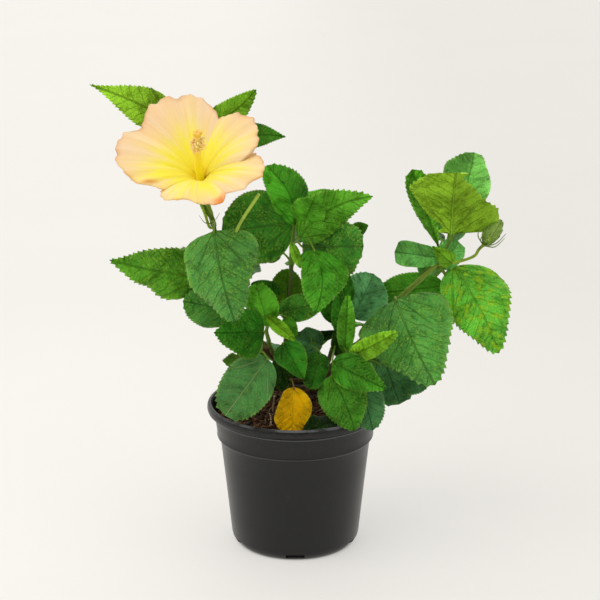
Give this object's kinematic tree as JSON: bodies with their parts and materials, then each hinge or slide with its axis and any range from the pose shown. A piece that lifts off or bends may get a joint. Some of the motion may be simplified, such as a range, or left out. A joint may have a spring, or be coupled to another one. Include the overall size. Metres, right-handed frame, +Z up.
{
  "type": "potted hibiscus shrub",
  "caption": "Small flowering shrub with glossy toothed leaves, one wide ruffled peach and yellow bloom and a bud, growing in a round black nursery pot",
  "frame": {"origin": "centre of the flat underside of the pot, on the surface it stands on", "axes": "+Z up; -Y is the side the bloom faces; +X is to the right of someone looking at that side"},
  "size_m": [0.3951, 0.2187, 0.444],
  "materials": {
    "pot": "satin moulded plastic",
    "soil": "loose dark bark and peat",
    "bark": "rough brown bark",
    "green_stem": "smooth green stem",
    "leaf": "glossy living leaf",
    "young_leaf": "glossy young leaf",
    "yellow_leaf": "dull spent leaf",
    "bloom": "soft matt petals"
  },
  "bodies": {
    "root": {"bloom": "bloom", "bloom_leaves": "young_leaf", "bough_back_centre": "bark", "bough_back_left": "bark", "bough_back_right": "bark", "bough_centre": "green_stem", "bough_left": "bark", "bough_low_right": "bark", "bough_mid": "green_stem", "bough_right": "green_stem", "bough_right_low": "bark", "bough_young": "green_stem", "bud": "green_stem", "leaf_in_pot": "leaf", "pot": "pot", "soil": "soil", "spray_back_centre": "leaf", "spray_back_left": "leaf", "spray_back_low": "leaf", "spray_back_right": "leaf", "spray_back_top": "young_leaf", "spray_centre": "leaf", "spray_left": "leaf", "spray_left_low": "leaf", "spray_low": "leaf", "spray_low_right": "leaf", "spray_mid": "leaf", "spray_right_front": "leaf", "spray_right_hang": "leaf", "spray_right_top": "young_leaf", "spray_young": "leaf", "stem_bloom": "green_stem", "trunk": "bark", "yellow_leaf": "yellow_leaf"}
  },
  "joints": []
}
